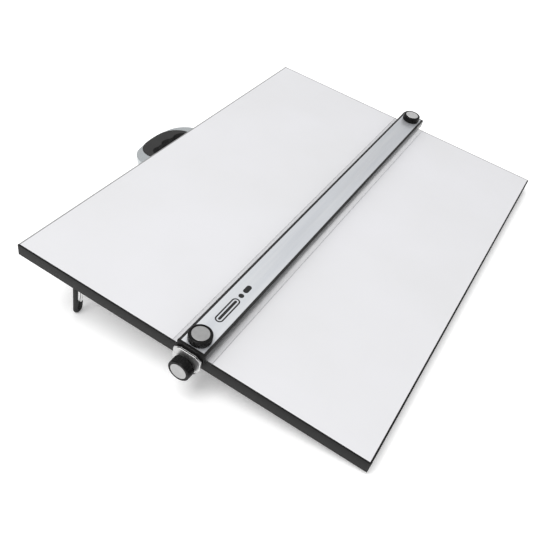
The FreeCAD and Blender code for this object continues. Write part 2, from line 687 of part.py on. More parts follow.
def build_leg_bracket():
    """Left leg bracket: a base, two ears for the pivot stubs and a stop lip."""
    lean = math.radians(LEG_LEAN)
    top = -BOARD_T - LEG_Z
    pieces = [box(-LEG_BASE_HALF_X, LEG_BASE_HALF_X, -LEG_BASE_HALF_Y, LEG_BASE_HALF_Y,
                  top - LEG_BASE_T, top)]
    for x in (-LEG_EAR_X - LEG_EAR_T, LEG_EAR_X):
        pieces.append(box(x, x + LEG_EAR_T, -LEG_EAR_R, LEG_EAR_R, 0, top))
        pieces.append(Part.makeCylinder(LEG_EAR_R, LEG_EAR_T, Vector(x, 0, 0), X_AXIS))
    lip_y = math.tan(lean) * LEG_LIP_DEPTH + LEG_WIRE_R / math.cos(lean) + LEG_LIP_GAP
    pieces.append(box(-LEG_LIP_HALF, LEG_LIP_HALF, lip_y, lip_y + LEG_BASE_T, -LEG_LIP_DEPTH, top))
    bore = Part.makeCylinder(LEG_WIRE_R + FIT, 2 * LEG_BASE_HALF_X,
                             Vector(-LEG_BASE_HALF_X, 0, 0), X_AXIS)
    bracket = fused(pieces).cut(bore).translate(Vector(-LEG_X, LEG_Y, LEG_Z))
    screws = []
    for x in (-LEG_X - LEG_SCREW_X, -LEG_X + LEG_SCREW_X):
        screws.append(underside_screw(x, LEG_Y + LEG_SCREW_Y, -BOARD_T - LEG_BASE_T))
    return cut_all(bracket, screws), screws


# ================================================================ handle
def d_face(half, apex, corner_r, base=0.0):
    """A D-shaped face: straight sides, round corners and a slightly domed end."""
    crown = math.radians(CROWN)
    side_end = apex - corner_r * math.cos(crown)
    side_end -= (half - corner_r + corner_r * math.sin(crown)) * math.tan(crown / 2)
    middle = (math.pi / 2 - crown) / 2
    centre = Vector(half - corner_r, side_end, 0)
    arc_mid = centre + Vector(math.cos(middle), math.sin(middle), 0) * corner_r
    arc_end = centre + Vector(math.sin(crown), math.cos(crown), 0) * corner_r

    def flip(point):
        return Vector(-point.x, point.y, point.z)

    low = Vector(half, base, 0)
    start = Vector(half, side_end, 0)
    edges = [Part.LineSegment(low, start), Part.Arc(start, arc_mid, arc_end),
             Part.Arc(arc_end, Vector(0, apex, 0), flip(arc_end)),
             Part.Arc(flip(arc_end), flip(arc_mid), flip(start)),
             Part.LineSegment(flip(start), flip(low)), Part.LineSegment(flip(low), low)]
    return Part.Face(Part.Wire([edge.toShape() for edge in edges]))


def d_solid(half, apex, corner_r, thickness, base=0.0):
    """A D-shaped slab, centred on the handle's middle plane."""
    slab = d_face(half, apex, corner_r, base).extrude(Vector(0, 0, thickness))
    return slab.translate(Vector(0, 0, -thickness / 2))


def d_rounded(half, apex, corner_r, thickness, base, radius):
    """A D-shaped slab with its outer rims rounded."""
    slab = d_solid(half, apex, corner_r, thickness, base)
    rims = [e for e in slab.Edges if abs(abs(e.CenterOfMass.z) - thickness / 2) < 0.01
            and e.CenterOfMass.y > base + 0.1]
    return slab.makeFillet(radius, rims)


def finger_scallops(height):
    """Shallow hollows for the fingers along the grip's inner edge."""
    ring_y = BOW_REACH - GRIP_W + SCALLOP_DEPTH - SCALLOP_R - SCALLOP_RING_R
    scallops = []
    for k in range(SCALLOPS):
        turn = math.radians(SCALLOP_STEP * (k - (SCALLOPS - 1) / 2))
        x = SCALLOP_RING_R * math.sin(turn)
        y = ring_y + SCALLOP_RING_R * math.cos(turn)
        scallops.append(Part.makeCylinder(SCALLOP_R, height, Vector(x, y, -height / 2)))
    return scallops


def build_handle():
    """Carry handle about its pivot: a rigid bow and a moulded soft grip."""
    over = 2.0
    bow = d_rounded(BOW_HALF, BOW_REACH, BOW_CORNER_R, BOW_T, 0.0, BOW_ROUND)
    bow = bow.cut(d_solid(GRIP_HALF, BOW_REACH - BOW_W, BOW_INNER_R, BOW_T + over, -over))
    for x in (-BOW_HALF, GRIP_HALF):
        bow = bow.fuse(Part.makeCylinder(BOW_T / 2, BOW_HALF - GRIP_HALF, Vector(x, 0, 0), X_AXIS))
    bow = bow.removeSplitter()
    grip = d_rounded(GRIP_HALF, BOW_REACH + GRIP_PROUD, GRIP_CORNER_R, GRIP_T, GRIP_START, GRIP_ROUND)
    finger_hole = d_solid(GRIP_INNER_HALF, BOW_REACH - GRIP_W, GRIP_INNER_R, GRIP_T + over)
    grip = cut_all(grip, [finger_hole] + finger_scallops(GRIP_T + over))
    core_half = BOW_HALF - CORE_SIDE_INSET
    core_end = BOW_REACH - CORE_END_INSET
    core = d_solid(core_half, core_end, GRIP_CORNER_R, CORE_T, CORE_START).cut(
        d_solid(core_half - CORE_W, core_end - CORE_W, BOW_INNER_R, CORE_T + over, -over))
    bow = fused([bow.cut(grip), core])
    grip = grip.cut(bow)
    bore = Part.makeCylinder(PIN_R + FIT, 2 * BOW_HALF + over, Vector(-BOW_HALF - over / 2, 0, 0), X_AXIS)
    bow = bow.cut(bore)
    return [handle_frame(piece) for piece in (bow, grip)]


def handle_frame(shape):
    """Droop a handle piece and move it to the hinge line under the rear edge."""
    shape = shape.rotate(Vector(0, 0, 0), X_AXIS, -HANDLE_DROOP)
    return shape.translate(Vector(0, HANDLE_Y, HANDLE_Z))


def build_handle_mount():
    """Right handle bracket with its pin and screws."""
    base_y0 = HANDLE_Y - 12.0
    base_y1 = HANDLE_Y + 11.0
    head_over = 1.5
    clip_over = 1.0
    screw_y = HANDLE_Y - 1.0
    top = -BOARD_T
    ears = (GRIP_HALF - HANDLE_EAR_GAP - HANDLE_EAR_T, BOW_HALF + HANDLE_EAR_GAP)
    pieces = [box(GRIP_HALF - HANDLE_BASE_OVER, BOW_HALF + HANDLE_BASE_OVER, base_y0, base_y1,
                  top - HANDLE_BASE_T, top)]
    for x in ears:
        pieces.append(box(x, x + HANDLE_EAR_T, HANDLE_Y - HANDLE_EAR_R, HANDLE_Y + HANDLE_EAR_R,
                          HANDLE_Z, top))
        pieces.append(Part.makeCylinder(HANDLE_EAR_R, HANDLE_EAR_T, Vector(x, HANDLE_Y, HANDLE_Z), X_AXIS))
    bracket = fused(pieces)
    pin_start = Vector(ears[0], HANDLE_Y, HANDLE_Z)
    pin_end = Vector(ears[1] + HANDLE_EAR_T, HANDLE_Y, HANDLE_Z)
    pin = Part.makeCylinder(PIN_R, pin_end.x - pin_start.x, pin_start, X_AXIS)
    head = Part.makeCylinder(PIN_R + head_over, head_over, pin_end, X_AXIS)
    clip = Part.makeCylinder(PIN_R + clip_over, clip_over, pin_start, X_AXIS * -1)
    screws = []
    for x in (GRIP_HALF - HANDLE_SCREW_OVER, BOW_HALF + HANDLE_SCREW_OVER):
        screws.append(underside_screw(x, screw_y, top - HANDLE_BASE_T))
    bracket = cut_all(bracket, screws + [pin])
    return bracket, fused([pin, head, clip]), screws


# ================================================================ board
def build_board(underside_holes):
    """Core, two laminate skins and four edge bands."""
    x = HALF_W - BAND_T
    y = HALF_D - BAND_T
    core = box(-x, x, -y, y, -BOARD_T + LAMINATE_T, -LAMINATE_T)
    top = box(-x, x, -y, y, -LAMINATE_T, 0)
    bottom = box(-x, x, -y, y, -BOARD_T, -BOARD_T + LAMINATE_T)
    bands = {}
    bands["edge_band_front"] = box(-x, x, -HALF_D, -y, -BOARD_T, 0)
    bands["edge_band_rear"] = box(-x, x, y, HALF_D, -BOARD_T, 0)
    bands["edge_band_left"] = box(-HALF_W, -x, -HALF_D, HALF_D, -BOARD_T, 0)
    bands["edge_band_right"] = box(x, HALF_W, -HALF_D, HALF_D, -BOARD_T, 0)
    nodes = {"board_core": cut_all(core, underside_holes), "top_laminate": top,
             "bottom_laminate": cut_all(bottom, underside_holes)}
    for name, band in bands.items():
        nodes[name] = round_band(band)
    return nodes


def round_band(band):
    """Ease the outer long edges of an edge band."""
    ease = 0.6
    middle = band.CenterOfMass
    along_x = band.BoundBox.XLength > band.BoundBox.YLength
    rims = []
    for edge in band.Edges:
        spot = edge.CenterOfMass
        outward = abs(spot.y) > abs(middle.y) + 0.1 if along_x else abs(spot.x) > abs(middle.x) + 0.1
        if outward and edge.Length > BOARD_T:
            rims.append(edge)
    return band.makeFillet(ease, rims)


# ================================================================ assembly
def build_nodes():
    """Every piece in the board's own frame, by name."""
    nodes = {}
    screws = []

    front_feet, rear_feet, foot_screws = build_feet()
    nodes["front_feet"] = front_feet
    nodes["rear_feet"] = rear_feet
    nodes["foot_screws"] = Part.makeCompound(foot_screws)

    bracket, axle, mount_screws = build_pulley_mount()
    nodes["pulley_brackets"] = Part.makeCompound(corners(bracket))
    axles = corners(axle)
    nodes["pulley_axles"] = Part.makeCompound(axles)
    for screw in mount_screws:
        screws += corners(screw)
    names = ("pulley_rear_right", "pulley_rear_left", "pulley_front_right", "pulley_front_left")
    for name, pulley in zip(names, corners(build_pulley())):
        nodes[name] = pulley
    nodes["drive_cable"] = build_cable()
    guide, guide_screws = build_cable_guide()
    nodes["cable_guide"] = guide
    screws += guide_screws

    wire, sleeve = build_leg()
    leg_bracket, leg_screws = build_leg_bracket()
    nodes["leg_wire_left"] = wire
    nodes["leg_wire_right"] = mirrored(wire)
    nodes["leg_sleeve_left"] = sleeve
    nodes["leg_sleeve_right"] = mirrored(sleeve)
    nodes["leg_brackets"] = Part.makeCompound([leg_bracket, mirrored(leg_bracket)])
    screws += leg_screws + [mirrored(screw) for screw in leg_screws]

    bow, grip = build_handle()
    nodes["handle_bow"] = bow
    nodes["handle_grip"] = grip
    handle_bracket, pin, handle_screws = build_handle_mount()
    nodes["handle_brackets"] = Part.makeCompound([handle_bracket, mirrored(handle_bracket)])
    nodes["handle_pins"] = Part.makeCompound([pin, mirrored(pin)])
    screws += handle_screws + [mirrored(screw) for screw in handle_screws]

    nodes["underside_screws"] = Part.makeCompound(screws)
    nodes.update(build_board(screws + foot_screws + axles))

    bar, inlay, blades, glides = build_bar()
    cap, carriage, plate, clamp, clamp_screws, plate_screws, cap_screws = build_end()
    pad = build_pad()
    nodes["straightedge_bar"] = bar
    nodes["top_inlay"] = inlay
    nodes["blade_front"] = blades[0]
    nodes["blade_rear"] = blades[1]
    nodes["glide_pads"] = glides
    ends = {"end_cap": cap, "carriage": carriage, "clamp_plate": plate, "cable_clamp": clamp,
            "brake_pad": pad}
    for name, piece in ends.items():
        nodes[name + "_right"] = piece
        nodes[name + "_left"] = mirrored(piece)
    groups = {"cable_clamp_screws": clamp_screws, "plate_screws": plate_screws, "end_cap_screws": cap_screws}
    for name, group in groups.items():
        nodes[name] = Part.makeCompound(group + [mirrored(screw) for screw in group])

    top_seat = Vector(TOP_KNOB_X, BAR_Y, INLAY_TOP + FIT)
    top_stud = BAR_Z1 - BAR_Z0 - 2 * BAR_WALL
    top_knob = place_knob(build_knob(TOP_KNOB_H, top_stud, TOP_HUB_H, TOP_HUB_R), top_seat, Z_AXIS)
    stud_in_pad = 1.4
    side_seat = Vector(PLATE_OUT + FIT, END_Y, CLAMP_AXIS_Z)
    side_stud = side_seat.x - (HALF_W + PAD_GAP + PAD_T - stud_in_pad)
    side_knob = place_knob(build_knob(SIDE_KNOB_H, side_stud, SIDE_HUB_H, SIDE_HUB_R), side_seat, X_AXIS)
    for kind, pieces in (("top_knob", top_knob), ("side_knob", side_knob)):
        for suffix, piece in zip(("", "_cap", "_stud"), pieces):
            nodes[kind + suffix + "_right"] = piece
            nodes[kind + suffix + "_left"] = mirrored(piece)
    return nodes


def stand_up(nodes):
    """Tilt the board to its working angle, with the origin under its middle."""
    for shape in nodes.values():
        shape.rotate(Vector(0, 0, 0), X_AXIS, TILT)
    whole = Part.makeCompound(list(nodes.values())).optimalBoundingBox(False)
    tilt = math.radians(TILT)
    rim_y = -(FOOT_Y + FOOT_R)
    table = rim_y * math.sin(tilt) + floor_plane_z(rim_y) * math.cos(tilt)
    shift = Vector(0, -(whole.YMin + whole.YMax) / 2, -table)
    for shape in nodes.values():
        shape.translate(shift)
    return shift


def main():
    nodes = build_nodes()
    shift = stand_up(nodes)
    os.makedirs("parts", exist_ok=True)
    for name, shape in nodes.items():
        shape.exportStep("parts/" + name + ".step")
    print(len(nodes), "nodes; the board's own origin is at", shift.y, shift.z)


main()
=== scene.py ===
import json
import math

import bmesh
import bpy
from mathutils import Matrix, Vector


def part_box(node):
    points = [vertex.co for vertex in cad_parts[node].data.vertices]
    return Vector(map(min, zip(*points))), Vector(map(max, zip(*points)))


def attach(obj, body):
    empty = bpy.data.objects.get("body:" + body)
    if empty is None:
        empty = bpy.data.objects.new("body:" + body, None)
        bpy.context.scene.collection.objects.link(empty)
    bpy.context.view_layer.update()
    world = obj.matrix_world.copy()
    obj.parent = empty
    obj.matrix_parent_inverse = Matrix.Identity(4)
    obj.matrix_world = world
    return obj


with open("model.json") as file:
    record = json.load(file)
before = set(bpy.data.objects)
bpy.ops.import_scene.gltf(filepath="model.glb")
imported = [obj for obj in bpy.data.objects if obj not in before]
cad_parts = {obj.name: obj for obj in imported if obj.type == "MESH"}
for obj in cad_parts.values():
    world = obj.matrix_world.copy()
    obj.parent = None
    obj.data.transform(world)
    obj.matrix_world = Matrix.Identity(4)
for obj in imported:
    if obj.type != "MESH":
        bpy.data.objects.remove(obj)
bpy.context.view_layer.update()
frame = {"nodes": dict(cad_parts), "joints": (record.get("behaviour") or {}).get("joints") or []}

# ------------------------------------------------------------ where things are
MM = 0.001
JOINTS = {joint["name"]: joint for joint in frame["joints"]}
SLIDE = Vector(JOINTS["straightedge_slide"]["axis"])
TILT = math.atan2(SLIDE.z, SLIDE.y)


def middle(node):
    """Centre of a CAD node's box, in the world frame."""
    low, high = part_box(node)
    return (low + high) / 2


BOARD_ORIGIN = middle("top_laminate")
BOARD_TO_WORLD = Matrix.Translation(BOARD_ORIGIN) @ Matrix.Rotation(TILT, 4, "X")
WORLD_TO_BOARD = BOARD_TO_WORLD.inverted()


def board_box(node):
    """Lowest and highest corner of a CAD node in the tilted board's own frame."""
    points = [WORLD_TO_BOARD @ v.co for v in frame["nodes"][node].data.vertices]
    low = Vector(min(p[i] for p in points) for i in range(3))
    high = Vector(max(p[i] for p in points) for i in range(3))
    return low, high


# ------------------------------------------------------------ colours
def srgb(red, green, blue):
    """Linear colour for a display colour given as 0 to 255."""

    def linear(value):
        share = value / 255
        if share <= 0.04045:
            return share / 12.92
        return ((share + 0.055) / 1.055) ** 2.4

    return (linear(red), linear(green), linear(blue), 1.0)


def grey(value):
    """Linear neutral grey for a display value of 0 to 255."""
    return srgb(value, value, value)


# ------------------------------------------------------------ node helpers
class Look:
    """A procedural material, worked out from the piece's own coordinates."""

    def __init__(self, name, **sockets):
        self.material = bpy.data.materials.new(name)
        self.material.use_nodes = True
        self.nodes = self.material.node_tree.nodes
        self.links = self.material.node_tree.links
        self.shader = self.nodes["Principled BSDF"]
        self.fix(**sockets)

    def fix(self, **sockets):
        """Sets the shader's own sockets; an underscore stands for a space."""
        for name, value in sockets.items():
            self.shader.inputs[name.replace("_", " ")].default_value = value

    def feed(self, name, source):
        """Links a worked-out value to one of the shader's sockets."""
        self.links.new(source, self.shader.inputs[name])

    def node(self, kind, values=None, **settings):
        """A new node with its settings; values fills its sockets by place or name."""
        made = self.nodes.new("ShaderNode" + kind)
        for name, value in settings.items():
            setattr(made, name, value)
        for key, value in (values or {}).items():
            if isinstance(value, bpy.types.NodeSocket):
                self.links.new(value, made.inputs[key])
            else:
                made.inputs[key].default_value = value
        return made

    def place(self, matrix=None, stretch=(1, 1, 1)):
        """Coordinates in the frame of matrix (a rigid placement), times stretch."""
        point = self.node("TexCoord").outputs["Object"]
        if matrix is not None:
            back = matrix.inverted()
            values = {
                "Vector": point,
                "Location": back.to_translation(),
                "Rotation": back.to_euler(),
            }
            point = self.node("Mapping", values).outputs[0]
        values = {"Vector": point, "Scale": stretch}
        return self.node("Mapping", values).outputs[0]

    def board_place(self, stretch=(1, 1, 1)):
        """Coordinates along, across and out of the board."""
        return self.place(BOARD_TO_WORLD, stretch)

    def noise(self, place, scale, detail=3, roughness=0.5):
        """Smooth noise from 0 to 1; scale counts its cycles in one unit of place."""
        values = {
            "Vector": place,
            "Scale": scale,
            "Detail": detail,
            "Roughness": roughness,
        }
        return self.node("TexNoise", values).outputs[0]

    def cells(self, place, scale, output="Distance"):
        """Cell noise: the distance to a cell's point, or one random colour a cell."""
        values = {"Vector": place, "Scale": scale}
        made = self.node("TexVoronoi", values, feature="F1")
        return made.outputs[output]

    def spread(self, source, low, high, to_low, to_high):
        """Maps low..high to to_low..to_high, held at the ends."""
        values = {0: source, 1: low, 2: high, 3: to_low, 4: to_high}
        return self.node("MapRange", values).outputs[0]

    def between(self, source, low, high, soft):
        """1 where source is from low to high, else 0, with soft steps inside both ends."""
        rise = self.spread(source, low, low + soft, 0.0, 1.0)
        fall = self.spread(source, high - soft, high, 1.0, 0.0)
        return self.maths("MULTIPLY", rise, fall)

    def maths(self, operation, first, second=0.0):
        """One arithmetic step on one or two values."""
        values = {0: first, 1: second}
        return self.node("Math", values, operation=operation).outputs[0]

    def ramp(self, source, stops):
        """A colour ramp; stops are (place, colour)."""
        made = self.node("ValToRGB", {0: source})
        elements = made.color_ramp.elements
        while len(elements) < len(stops):
            elements.new(0.5)
        for element, (where, colour) in zip(elements, stops):
            element.position = where
            element.color = colour
        return made.outputs[0]

    def blend(self, factor, first, second):
        """Mixes two colours: first at factor 0, second at factor 1."""
        values = {0: factor, 6: first, 7: second}
        made = self.node("Mix", values, data_type="RGBA")
        return made.outputs[2]

    def axis_part(self, place, axis):
        """One coordinate of a place: "X", "Y" or "Z"."""
        return self.node("SeparateXYZ", {0: place}).outputs[axis]

    def bumps(self, *layers):
        """Adds bump layers, each (height source, depth in metres, strength)."""
        normal = None
        for height, depth, strength in layers:
            values = {"Height": height, "Distance": depth, "Strength": strength}
            if normal is not None:
                values["Normal"] = normal
            normal = self.node("Bump", values).outputs[0]
        self.feed("Normal", normal)


def paint(look, *names):
    """Gives CAD nodes, named in full or by their first part, that material."""
    for name in names:
        for node, piece in frame["nodes"].items():
            if node == name or node in (name + "_left", name + "_right"):
                for slot in piece.material_slots:
                    slot.material = look.material


# ------------------------------------------------------------ board materials
# Where the edge bands' painted light and shade change: a lighter foot, a darker shoulder and a thin
# line along the top edge.
BAND_FOOT_SHARE = 0.45
BAND_SHOULDER_DEPTH = 0.001
BAND_CREST_START = 0.0004
BAND_CREST_FULL = 0.0001


def laminate_look():
    """Matt white melamine: faint mottling, a fine pebbled skin, light rub marks."""
    look = Look("white_laminate", Specular_IOR_Level=0.35)
    place = look.board_place()
    cloud = look.noise(place, 5.0, 4)
    tones = [(0.35, srgb(214, 214, 216)), (0.65, srgb(217, 217, 220))]
    look.feed("Base Color", look.ramp(cloud, tones))
    rubs = look.noise(look.board_place((6, 160, 1)), 1.0, 5, 0.6)
    look.feed("Roughness", look.spread(rubs, 0.3, 0.7, 0.42, 0.56))
    pebble = look.noise(place, 1100.0, 2)
    look.bumps((pebble, 0.00002, 0.35))
    return look


def edge_band_look(name, tones, stretch):
    """Satin black plastic edging with drawn lines and dust.

    tones are display greys for its foot, its shoulder and the thin line along its top: painted light
    and shade, lighter at the foot and darker at the shoulder, with the top line a painted highlight on
    the right and rear bands.
    """
    low, high = board_box("edge_band_front")
    look = Look(name, Specular_IOR_Level=0.18)
    place = look.board_place()
    height = look.axis_part(place, "Z")
    streaks = look.noise(look.board_place(stretch), 1.0, 4)
    dust = look.noise(place, 60.0, 6, 0.7)
    foot = low.z + BAND_FOOT_SHARE * (high.z - low.z)
    # Painted shade: each band darkens from its foot up to its shoulder. The thin top line is painted
    # light on the right and rear bands.
    painted_shade_climb = look.spread(height, foot, high.z - BAND_SHOULDER_DEPTH, 0.0, 1.0)
    lit_foot_tone, shaded_shoulder_tone, top_line_light_tone = tones
    painted_top_line = look.spread(height, high.z - BAND_CREST_START, high.z - BAND_CREST_FULL, 0.0, 1.0)
    tone = look.blend(painted_shade_climb, grey(lit_foot_tone), grey(shaded_shoulder_tone))
    tone = look.blend(painted_top_line, tone, grey(top_line_light_tone))
    drawn = look.spread(streaks, 0.3, 0.75, 0.0, 0.12)
    specks = look.spread(dust, 0.64, 0.82, 0.0, 0.16)
    look.feed("Base Color", look.blend(specks, look.blend(drawn, tone, grey(70)), grey(110)))
    look.feed("Roughness", look.spread(streaks, 0.3, 0.7, 0.42, 0.56))
    look.bumps((streaks, 0.00004, 0.4), (dust, 0.00002, 0.3))
    return look


def backing_look():
    """Matt grey balancing laminate under the board."""
    look = Look("backing_laminate", Specular_IOR_Level=0.25)
    place = look.board_place()
    cloud = look.noise(place, 14.0, 5, 0.6)
    fleck = look.noise(place, 420.0, 2)
    tone = look.ramp(cloud, [(0.3, grey(120)), (0.7, grey(131))])
    look.feed("Base Color", look.blend(look.spread(fleck, 0.5, 0.75, 0, 0.4), tone, grey(92)))
    look.feed("Roughness", look.spread(cloud, 0.3, 0.7, 0.55, 0.7))
    look.bumps((fleck, 0.00004, 0.5))
    return look


def wood_look():
    """Pale basswood with lengthwise grain."""
    look = Look("wood_core", Specular_IOR_Level=0.25)
    grain = look.noise(look.board_place((3, 90, 90)), 1.0, 6, 0.6)
    fibre = look.noise(look.board_place((25, 900, 900)), 1.0, 3)
    tones = [(0.3, srgb(196, 164, 120)), (0.5, srgb(214, 184, 142)), (0.72, srgb(224, 198, 158))]
    look.feed("Base Color", look.ramp(grain, tones))
    look.feed("Roughness", look.spread(fibre, 0.3, 0.7, 0.55, 0.75))
    look.bumps((fibre, 0.0001, 0.5))
    return look


# ------------------------------------------------------------ metals and plastics
def rubber_look(name, tone, sheen):
    """Matt moulded rubber with a fine pebbled skin and a little dust."""
    look = Look(name, Specular_IOR_Level=sheen)
    place = look.place()
    cloud = look.noise(place, 90.0, 5, 0.65)
    grit = look.cells(place, 1500.0)
    look.feed("Base Color", look.ramp(cloud, [(0.35, grey(tone)), (0.7, grey(tone + 10))]))
    look.feed("Roughness", look.spread(cloud, 0.3, 0.7, 0.55, 0.75))
    look.bumps((grit, 0.00006, 0.5))
    return look


def zinc_look(name, tone, polish):
    """Zinc-plated steel: soft crystalline patches, fine scratches, dull spots."""
    look = Look(name, Metallic=1.0)
    place = look.place()
    patch = look.cells(place, 260.0, output="Color")
    shade = look.node("SeparateColor", {0: patch}).outputs[0]
    cloud = look.noise(place, 70.0, 5, 0.6)
    bright = look.ramp(shade, [(0.0, grey(tone - 12)), (1.0, grey(tone + 8))])
    dull = look.spread(cloud, 0.55, 0.75, 0.0, 0.5)
    look.feed("Base Color", look.blend(dull, bright, srgb(tone - 20, tone - 22, tone - 30)))
    scratch = look.noise(look.place(stretch=(40, 900, 900)), 1.0, 4, 0.6)
    look.feed("Roughness", look.spread(cloud, 0.3, 0.7, polish, polish + 0.16))
    look.bumps((scratch, 0.00003, 0.35))
    return look


def cable_look():
    """Steel cable: strands wound round a core, lighter and smoother on the strands' crests and darker
    and rougher in the grooves between them.
    """
    look = Look("cable_steel", Metallic=1.0)
    place = look.board_place()
    values = {"Vector": place, "Scale": 420.0, "Distortion": 0.6, "Detail": 1.0}
    wave = look.node("TexWave", values, bands_direction="DIAGONAL").outputs[1]
    look.feed("Base Color", look.ramp(wave, [(0.1, grey(95)), (0.8, grey(188))]))
    look.feed("Roughness", look.spread(wave, 0, 1, 0.45, 0.28))
    look.bumps((wave, 0.00015, 0.8))
    return look


def nylon_look():
    """Natural white nylon, faintly uneven, with turning marks."""
    look = Look("nylon", Specular_IOR_Level=0.45, Subsurface_Weight=0.15)
    look.fix(Subsurface_Radius=(0.002, 0.0018, 0.0015))
    place = look.place()
    cloud = look.noise(place, 110.0, 4)
    tones = [(0.3, srgb(216, 214, 203)), (0.7, srgb(228, 227, 219))]
    look.feed("Base Color", look.ramp(cloud, tones))
    look.feed("Roughness", look.spread(cloud, 0.3, 0.7, 0.34, 0.48))
    look.bumps((look.noise(place, 900.0, 2), 0.00003, 0.4))
    return look


def moulded_black_look(name, tone, gloss, sheen, grain):
    """Satin black moulded plastic with a fine eroded texture."""
    look = Look(name, Specular_IOR_Level=sheen)
    place = look.place()
    cloud = look.noise(place, 150.0, 4)
    grit = look.noise(place, 2200.0, 2)
    look.feed("Base Color", look.ramp(cloud, [(0.3, grey(tone)), (0.75, grey(tone + 9))]))
    look.feed("Roughness", look.spread(cloud, 0.3, 0.7, gloss, gloss + 0.12))
    look.bumps((grit, 0.00003, grain))
    return look


def anodised_look(name):
    """Gloss black anodised aluminium with fine drawing lines; also gives its black."""
    look = Look(name, Specular_IOR_Level=0.35)
    lines = look.noise(look.board_place((3, 2600, 2600)), 1.0, 3)
    cloud = look.noise(look.board_place((12, 60, 60)), 1.0, 4)
    black = look.ramp(cloud, [(0.3, grey(18)), (0.75, grey(26))])
    look.feed("Base Color", black)
    look.feed("Roughness", look.spread(lines, 0.3, 0.7, 0.24, 0.36))
    look.bumps((lines, 0.00001, 0.4))
    return look, black


BAR_SHOULDER_DEPTH = 0.0012
BAR_END_FADE = 0.0004


def anodised_bar_look():
    """The bar's gloss black. Its long walls get a painted gradient for the white board's reflection."""
    low, high = board_box("straightedge_bar")
    look, black = anodised_look("black_anodised_bar")
    place = look.board_place()
    height = look.axis_part(place, "Z")
    along = look.maths("ABSOLUTE", look.axis_part(place, "X"))
    drop = look.spread(height, high.z - BAR_SHOULDER_DEPTH, low.z, 0.0, 1.0)
    stops = [(0.0, grey(20)), (0.2, grey(58)), (0.6, grey(116)), (0.85, grey(150)), (1.0, grey(225))]
    mirror = look.ramp(drop, stops)
    wall = look.spread(drop, 0.0, 0.12, 0.0, 1.0)
    inside = look.spread(along, high.x, high.x - BAR_END_FADE, 0.0, 1.0)
    wall = look.maths("MULTIPLY", wall, inside)
    look.feed("Metallic", wall)
    look.feed("Base Color", look.blend(wall, black, mirror))
    return look


def inlay_look():
    """Satin silver strip, brushed along its length."""
    look = Look("silver_inlay", Metallic=0.6, Anisotropic=0.35)
    fine = look.noise(look.board_place((4, 3200, 3200)), 1.0, 4, 0.7)
    broad = look.noise(look.board_place((5, 130, 130)), 1.0, 3)
    tones = [(0.3, srgb(203, 206, 211)), (0.7, srgb(213, 215, 218))]
    look.feed("Base Color", look.ramp(broad, tones))
    look.feed("Roughness", look.spread(fine, 0.25, 0.75, 0.3, 0.42))
    look.bumps((fine, 0.000008, 0.5))
    return look


ACRYLIC_BODY = 0.03
# Where the blades' painted shade line along the outer edge begins, and how strong it is on each blade.
RIM_START = 0.95
RIM_FULL = 0.975
RIM_ALPHA_FRONT = 0.34
RIM_ALPHA_REAR = 0.22
# Painted light: a faint glow in the front blade lightens the shade on the board beside the bar. It is
# strongest near the bar and away from the left end.
PAINTED_GLOW = 2.7
GLOW_FULL_SHARE = 0.3
GLOW_LEFT_END = 0.1
GLOW_FADE_START = 0.25
GLOW_FADE_END = 0.25


def acrylic_look(node):
    """Clear acrylic: nearly invisible on the board, with a painted grey line of shade along its outer
    edge.

    The front blade has a faint glow, set by trial to lighten the board under it as in the photograph.
    """
    low, high = board_box(node)
    bar_low, bar_high = board_box("straightedge_bar")
    front = low.y < bar_low.y
    outer = low.y if front else high.y
    inner = bar_low.y if front else bar_high.y
    look = Look("clear_acrylic_" + node.split("_")[1], Specular_IOR_Level=0.3, Roughness=0.08)
    place = look.board_place()
    reach = look.spread(look.axis_part(place, "Y"), inner, outer, 0.0, 1.0)
    swirl = look.noise(look.board_place((30, 400, 400)), 1.0, 4)
    # Painted shade: a grey, less clear line along the blade's outer edge.
    rim = look.spread(reach, RIM_START, RIM_FULL, 0.0, 1.0)
    look.feed("Base Color", look.ramp(rim, [(0.0, srgb(44, 47, 50)), (1.0, srgb(112, 116, 118))]))
    haze = look.spread(swirl, 0.3, 0.7, 0.95, 1.05)
    body = look.maths("MULTIPLY", haze, ACRYLIC_BODY)
    rim_alpha = RIM_ALPHA_FRONT if front else RIM_ALPHA_REAR
    look.feed("Alpha", look.maths("MAXIMUM", body, look.maths("MULTIPLY", rim, rim_alpha)))
    # Painted light: the front blade's glow.
    if front:
        full = GLOW_FULL_SHARE * low.x
        along = look.spread(look.axis_part(place, "X"), low.x, full, GLOW_LEFT_END, 1.0)
        fade = look.spread(reach, GLOW_FADE_START, 1.0, 1.0, GLOW_FADE_END)
        glow = look.maths("MULTIPLY", look.maths("MULTIPLY", along, fade), PAINTED_GLOW)
        look.feed("Emission Strength", look.maths("MULTIPLY", glow, look.maths("SUBTRACT", 1.0, rim)))
        look.fix(Emission_Color=(1, 1, 1, 1))
    look.bumps((swirl, 0.00001, 0.2))
    return look


GROOVE_START = 0.8 * MM
GROOVE_END = 2.2 * MM
GROOVE_SIDE_SOFT = 0.05 * MM
GROOVE_BOTTOM = 2.3 * MM
GROOVE_TOP = 0.1 * MM
GROOVE_HEIGHT_SOFT = 0.1 * MM
CUT_EDGE_FACING = 0.75
FACE_FACING = 0.95


